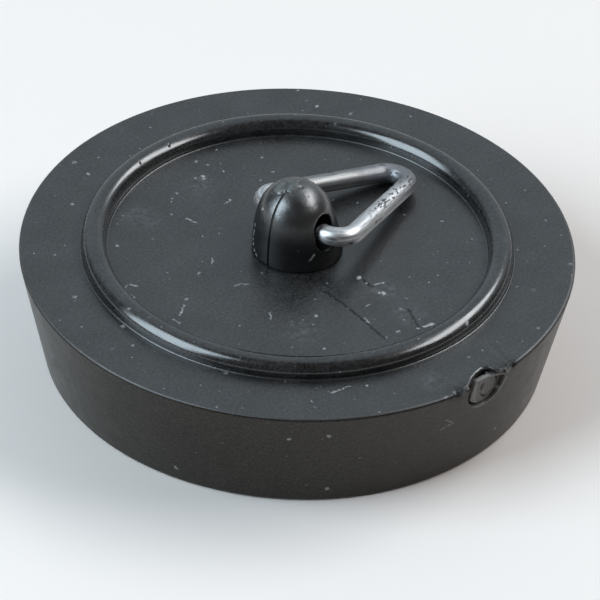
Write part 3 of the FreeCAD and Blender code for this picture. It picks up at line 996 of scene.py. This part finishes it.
def top_material():
    """Glossy black PVC: faint clouds of dust, specks, lint and a few scratches. The bead is smoother."""
    graph = Graph(bpy.data.materials.new("glossy_black_pvc"))
    place = graph.place()
    grain = graph.noise(place, 3.5, detail=4.0)
    film = graph.ramp(graph.noise(place, 0.3, detail=4.0), 0.35, 0.75, 0.0, 0.012)
    film = graph.math("ADD", film, graph.ramp(graph.noise(place, 4.0, detail=2.0), 0.35, 0.7, 0.0, 0.024))
    hazes = graph.most(graph.spot(place, top_place(pixel), radius) for pixel, radius in HAZE)
    smear = graph.times(hazes, graph.ramp(graph.noise(place, 1.6), 0.42, 0.7, 0.0, 0.05))
    level = graph.math("ADD", film, smear)
    clean = graph.node("CombineColor", {"Red": level, "Green": level, "Blue": level}).outputs["Color"]

    ragged = graph.wander(place, 3.0, SPECK_WANDER)
    large = graph.specks(ragged, 0.5, 0.1, 0.26, 0.5)
    small = graph.specks(ragged, 1.3, 0.06, 0.12, 0.5)
    sizes = [SPECK_RADIUS * SPECK_SIZES[number % len(SPECK_SIZES)] for number in range(len(SPECKS))]
    picked = graph.most(graph.spot(ragged, top_place(pixel), size) for pixel, size in zip(SPECKS, sizes))
    lint = strokes_on_top(graph, ragged, LINT, LINT_WIDTH)
    faint = graph.times(graph.most([picked, lint]), graph.ramp(grain, 0.35, 0.65, 0.2, 1.0))
    # A painted highlight on the cut across the bead, drawn in the pale dust colour
    cut_glint = graph.stroke(place, *[on_level(pixel, CUT_GLINT_LEVEL) for pixel in BEAD_CUT_GLINT], CHIP_WIDTH)
    dust = graph.most([large, small, faint, cut_glint, strokes_on_top(graph, ragged, CHIPS, CHIP_WIDTH)])
    nicks = [[on_level(pixel, NICK_LEVEL) for pixel in nick] for nick in NICKS]
    nicked = graph.most(graph.stroke(place, begin, end, NICK_WIDTH) for begin, end in nicks)
    worn_lines = graph.times(strokes_on_top(graph, ragged, SCRATCHES, SCRATCH_WIDTH), 0.7)
    scratched = graph.most([worn_lines, nicked])
    whitened_and_lit = graph.attribute("whitened_and_lit")
    dulled = graph.attribute("dulled")
    colour = graph.mix(dust, graph.mix(scratched, clean, grey(0.002)), DUST_COLOUR)
    # Whitening and painted highlights at the scar, mostly at its torn corners, lighten the colour
    colour = graph.mix(graph.times(whitened_and_lit, 0.5), colour, grey(0.1))
    shine = graph.mix(graph.most([scratched, dulled]), grey(1.0), grey(0.16))
    graph.set(Base_Color=colour, IOR=1.6, Specular_IOR_Level=0.95, Specular_Tint=shine)

    height = graph.node("SeparateXYZ", {"Vector": place}).outputs["Z"]
    from_axis = graph.vector("LENGTH", graph.vector("MULTIPLY", place, (1.0, 1.0, 0.0)))
    on_bead = graph.ramp(height, PLUG_HEIGHT + 0.05, PLUG_HEIGHT + 0.2)
    at_rim = graph.ramp(from_axis, TOP_RADIUS - 0.4, TOP_RADIUS - 0.15)
    satin = graph.ramp(graph.noise(place, 0.7), 0.3, 0.7, 0.28, 0.37)
    satin = graph.math("SUBTRACT", satin, graph.times(on_bead, 0.11))
    satin = graph.math("ADD", satin, graph.times(graph.most([at_rim, dulled]), 0.2))
    graph.set(Roughness=graph.math("ADD", satin, graph.times(dust, 0.4), clamp=True))
    fine = graph.bumps(graph.times(grain, graph.ramp(on_bead, 0.0, 1.0, 1.0, 0.06)), 0.012)
    graph.set(Normal=graph.bumps(graph.math("SUBTRACT", 1.0, scratched), 0.03, fine))
    return graph.owner


def wall_material():
    """Matt black PVC of the wall and underside: warm clouds, fine grain and a little dust."""
    graph = Graph(bpy.data.materials.new("matt_black_pvc"))
    place = graph.place()
    grain = graph.noise(place, 3.0, detail=4.0)
    cloud = graph.noise(graph.vector("MULTIPLY", place, (1.0, 1.0, 0.5)), 0.4, detail=4.0)
    clean = graph.mix(graph.ramp(cloud, 0.3, 0.7), grey(0.002, 0.2), grey(0.008, 0.2))
    clean = graph.mix(graph.ramp(graph.noise(place, 5.0), 0.4, 0.72), clean, grey(0.024, 0.2))
    # Whitening of the torn stub, and painted light on its fold, top, bridge, lip, shaded shelf and glints
    clean = graph.mix(graph.attribute("whitened_and_lit"), clean, grey(0.2, 0.03))
    ragged = graph.wander(place, 3.0, SPECK_WANDER)
    specks = [graph.specks(ragged, 0.45, 0.08, 0.2, 0.45), graph.specks(ragged, 1.4, 0.05, 0.1, 0.3)]
    specks += [graph.spot(ragged, on_wall(pixel), SPECK_RADIUS) for pixel in WALL_SPECKS]
    for begin, end in zip(WALL_SCRATCH, WALL_SCRATCH[1:]):
        scratch = graph.stroke(ragged, on_wall(begin), on_wall(end), LINT_WIDTH)
        specks.append(graph.times(scratch, 0.65))
    specked = graph.most(specks)
    shine = graph.mix(graph.attribute("dulled"), WALL_SHINE, grey(0.3))
    graph.set(Base_Color=graph.mix(specked, clean, grey(0.25, 0.02)), IOR=1.54)
    graph.set(Specular_IOR_Level=0.3, Specular_Tint=shine)
    graph.set(Roughness=graph.ramp(graph.noise(place, 0.8), 0.3, 0.7, 0.3, 0.38))
    graph.set(Normal=graph.bumps(specked, 0.03, graph.bumps(grain, 0.028)))
    return graph.owner


# Marks on the stud, as turns from the camera's side in degrees and heights above the plug's top: painted rim
# highlights down its left side, and a streak of lint
STUD_RIM_GLINTS = [
    (-77, 2.6), (-76, 2.05), (-78, 1.65), (-77, 1.2), (-74, 0.85), (-68, 0.5), (-62, 0.25), (-68, 4.5),
]
STUD_LINT = [(19, 1.2), (26, 1.65)]
RIM_GLINT_RADIUS = 0.2
STUD_LINT_WIDTH = 0.13
TORN_COLOUR = (0.07, 0.081, 0.073, 1.0)


def stud_place(turn, height):
    """A place on the head of the stud."""
    share = height / HEAD_HEIGHT
    radius = (HEAD_RADIUS - HEAD_TAPER * share) * math.sqrt(1 - share ** CROWN_POWER)
    lean = Vector((*head_axis(np.array(height)), PLUG_HEIGHT + height))
    return radius * direction(turn, 0) + lean


def stud_material():
    """Hard black plastic: crown glossy from handling, flank duller, rough where it was torn off its sprue."""
    graph = Graph(bpy.data.materials.new("glossy_black_plastic"))
    place = graph.place()
    mottle = graph.noise(place, 1.3, detail=4.0)
    torn = graph.attribute("torn")
    seam = graph.attribute("seam")
    body = graph.mix(graph.ramp(graph.noise(place, 0.9), 0.35, 0.7), grey(0.004), grey(0.009, -0.05))
    chips = graph.times(graph.specks(place, 1.6, 0.05, 0.12, 0.3), 0.6)
    # Painted highlights down the stud's left rim, broken up by noise and painted pale
    flecks = [graph.spot(place, stud_place(*glint), RIM_GLINT_RADIUS) for glint in STUD_RIM_GLINTS]
    lint = graph.stroke(place, stud_place(*STUD_LINT[0]), stud_place(*STUD_LINT[1]), STUD_LINT_WIDTH)
    broken = graph.ramp(graph.noise(place, 4.0), 0.3, 0.5)
    marks = graph.times(graph.most(flecks + [lint]), broken)
    marked = graph.mix(graph.most([chips, marks]), body, grey(0.34))
    ragged = graph.mix(graph.ramp(graph.noise(place, 2.2), 0.36, 0.62), grey(0.006), TORN_COLOUR)
    # The seam and the step below the torn patch are painted near-black as shade
    colour = graph.mix(torn, graph.mix(seam, marked, grey(0.001)), ragged)
    height = graph.node("SeparateXYZ", {"Vector": place}).outputs["Z"]
    worn = graph.ramp(height, PLUG_HEIGHT + 2.5, PLUG_HEIGHT + 4.6)
    scuffed = graph.times(graph.ramp(height, PLUG_HEIGHT + 5.6, PLUG_HEIGHT + 6.2), 0.1)
    rough = graph.ramp(mottle, 0.3, 0.7, 0.38, 0.48)
    rough = graph.math("SUBTRACT", rough, graph.times(worn, 0.12))
    rough = graph.math("ADD", rough, scuffed)
    shine = graph.mix(worn, grey(0.32), grey(1.0))
    graph.set(Base_Color=colour, IOR=1.7, Specular_IOR_Level=1.0, Specular_Tint=shine)
    graph.set(Roughness=graph.math("ADD", rough, graph.times(torn, 0.15)))
    graph.set(Normal=graph.bumps(mottle, 0.02, graph.bumps(graph.noise(place, 5.0), 0.004)))
    return graph.owner


# Dark flecks on the wire's front leg, with their turn about it, and a darker colour on its back leg.
# Their runs along the wire are four marks: start, full, full, end.
FLECK_TURN = math.radians(72)
FLECK_RUN = (5.5, 7.0, 13.5, 15.0)
BACK_LEG_RUN = (18.0, 19.5, 26.5, 28.0)
BACK_LEG_COLOUR = (0.33, 0.33, 0.325, 1.0)
TIP_COLOUR = (0.15, 0.155, 0.17, 1.0)


def wire_material():
    """Drawn steel wire: streaks along it, a darker back leg, a dull tip, dark pits and flecks."""
    graph = Graph(bpy.data.materials.new("worn_steel_wire"))
    straight = graph.attribute("straight", "Vector")
    along = graph.vector("MULTIPLY", straight, (3.0, 3.0, 0.3))
    streaks = graph.noise(along, 2.0, detail=5.0)
    patches = graph.noise(straight, 0.5)
    pitted = graph.vector("MULTIPLY", straight, (1.0, 1.0, 0.45))
    pits = graph.specks(pitted, 2.4, 0.1, 0.22, 0.8)
    pits = graph.times(pits, graph.ramp(patches, 0.42, 0.52, 0.0, 1.6))
    facing = graph.vector("DOT_PRODUCT", straight, (math.cos(FLECK_TURN), math.sin(FLECK_TURN), 0.0))
    flecks = graph.noise(graph.vector("MULTIPLY", straight, (2.2, 2.2, 1.0)), 2.2, detail=1.0)
    flecks = graph.times(graph.ramp(flecks, 0.55, 0.61), graph.ramp(facing, 0.6, 0.72))
    distance = graph.node("SeparateXYZ", {"Vector": straight}).outputs["Z"]
    pits = graph.most([pits, graph.times(flecks, graph.stretch(distance, FLECK_RUN))])
    bright = graph.mix(graph.ramp(streaks, 0.35, 0.65), (0.6, 0.6, 0.605, 1.0), (0.85, 0.85, 0.85, 1.0))
    # The back leg is given a darker colour
    bright = graph.mix(graph.stretch(distance, BACK_LEG_RUN), bright, BACK_LEG_COLOUR)
    at_tip = graph.ramp(graph.attribute("from_tip"), 5.0, 2.5)
    colour = graph.mix(graph.times(at_tip, 0.7), bright, TIP_COLOUR)
    colour = graph.mix(graph.times(pits, 0.85), colour, grey(0.05))
    rough = graph.ramp(streaks, 0.3, 0.7, 0.34, 0.46)
    graph.set(Base_Color=colour, Metallic=1.0)
    graph.set(Roughness=graph.math("ADD", rough, graph.times(at_tip, 0.1)))
    height = graph.math("SUBTRACT", streaks, graph.times(pits, 1.5))
    graph.set(Normal=graph.bumps(height, 0.025))
    return graph.owner


# Stage: floor, lamps, world and camera, with its lengths in metres

FLOOR_SIZE = 8.0
FLOOR_COLOUR = (0.98, 0.91, 0.86, 1.0)
LAMP_DISTANCE = 0.5
BACK_COLOUR = (0.45, 0.515, 0.565, 1.0)
BACK_PLACE = (180, 35)
BACK_FADE = (0.45, 0.85)
FRONT_COLOUR = (0.07, 0.065, 0.065, 1.0)
CLIP_RANGE = (0.01, 20.0)
# Azimuth and elevation of each lamp, half its width and height as angles, its colour and its radiance
LAMPS = {
    "left_window": (-69, 36, (19, 24), (0.74, 0.89, 1.0), 5.2),
    "right_window": (109, 46, (25, 9.5), (0.96, 0.98, 1.0), 5.9),
}


def direction(azimuth, elevation):
    """Unit vector towards a place: azimuth 0 is the camera's side, 90 its right, 180 behind the plug."""
    turn = CAMERA_AZIMUTH + math.radians(azimuth)
    rise = math.radians(elevation)
    return Vector((math.sin(turn) * math.cos(rise), -math.cos(turn) * math.cos(rise), math.sin(rise)))


def add_camera():
    right, up, back = camera_axes()
    data = bpy.data.cameras.new("camera")
    data.sensor_width = SENSOR
    data.lens = FOCAL_PIXELS / IMAGE_PIXELS * SENSOR
    data.clip_start, data.clip_end = CLIP_RANGE
    camera = bpy.data.objects.new("camera", data)
    turn = Matrix((right, up, back)).transposed().to_4x4()
    camera.matrix_world = Matrix.Translation(camera_place() * MM) @ turn
    bpy.context.scene.collection.objects.link(camera)
    bpy.context.scene.camera = camera


def add_lamp(name, azimuth, elevation, spread, colour, radiance):
    """A soft rectangular lamp that faces the plug."""
    width, height = (2 * LAMP_DISTANCE * math.tan(math.radians(angle)) for angle in spread)
    data = bpy.data.lights.new(name, "AREA")
    data.shape = "RECTANGLE"
    data.size, data.size_y = width, height
    data.color = colour
    data.energy = radiance * math.pi * width * height
    lamp = bpy.data.objects.new(name, data)
    towards = direction(azimuth, elevation)
    lamp.location = towards * LAMP_DISTANCE
    lamp.rotation_mode = "QUATERNION"
    lamp.rotation_quaternion = towards.to_track_quat("Z", "Y")
    bpy.context.scene.collection.objects.link(lamp)


def add_floor():
    half = FLOOR_SIZE / 2
    mesh = bpy.data.meshes.new("floor")
    corners = [(-half, -half, 0), (half, -half, 0), (half, half, 0), (-half, half, 0)]
    mesh.from_pydata(corners, [], [(0, 1, 2, 3)])
    floor = bpy.data.objects.new("floor", mesh)
    bpy.context.scene.collection.objects.link(floor)
    graph = Graph(bpy.data.materials.new("pale_floor"))
    graph.set(Base_Color=FLOOR_COLOUR, Roughness=0.9)
    mesh.materials.append(graph.owner)


def add_world():
    """A soft bluish wall of light behind the plug, fading to a dim room at the front and above."""
    graph = Graph(bpy.data.worlds.new("studio"), "Background", "OutputWorld")
    towards = graph.node("TexCoord", {}).outputs["Generated"]
    facing = graph.vector("DOT_PRODUCT", towards, direction(*BACK_PLACE))
    inputs = {"Value": facing, "From Min": BACK_FADE[0], "From Max": BACK_FADE[1]}
    fade = graph.node("MapRange", inputs, interpolation_type="SMOOTHSTEP").outputs["Result"]
    graph.set(Color=graph.mix(fade, FRONT_COLOUR, BACK_COLOUR))
    bpy.context.scene.world = graph.owner


make_plug()
make_stud()
make_triangle()
add_floor()
add_world()
for lamp_name, lamp_settings in LAMPS.items():
    add_lamp(lamp_name, *lamp_settings)
add_camera()
bpy.context.scene.view_settings.view_transform = "Standard"
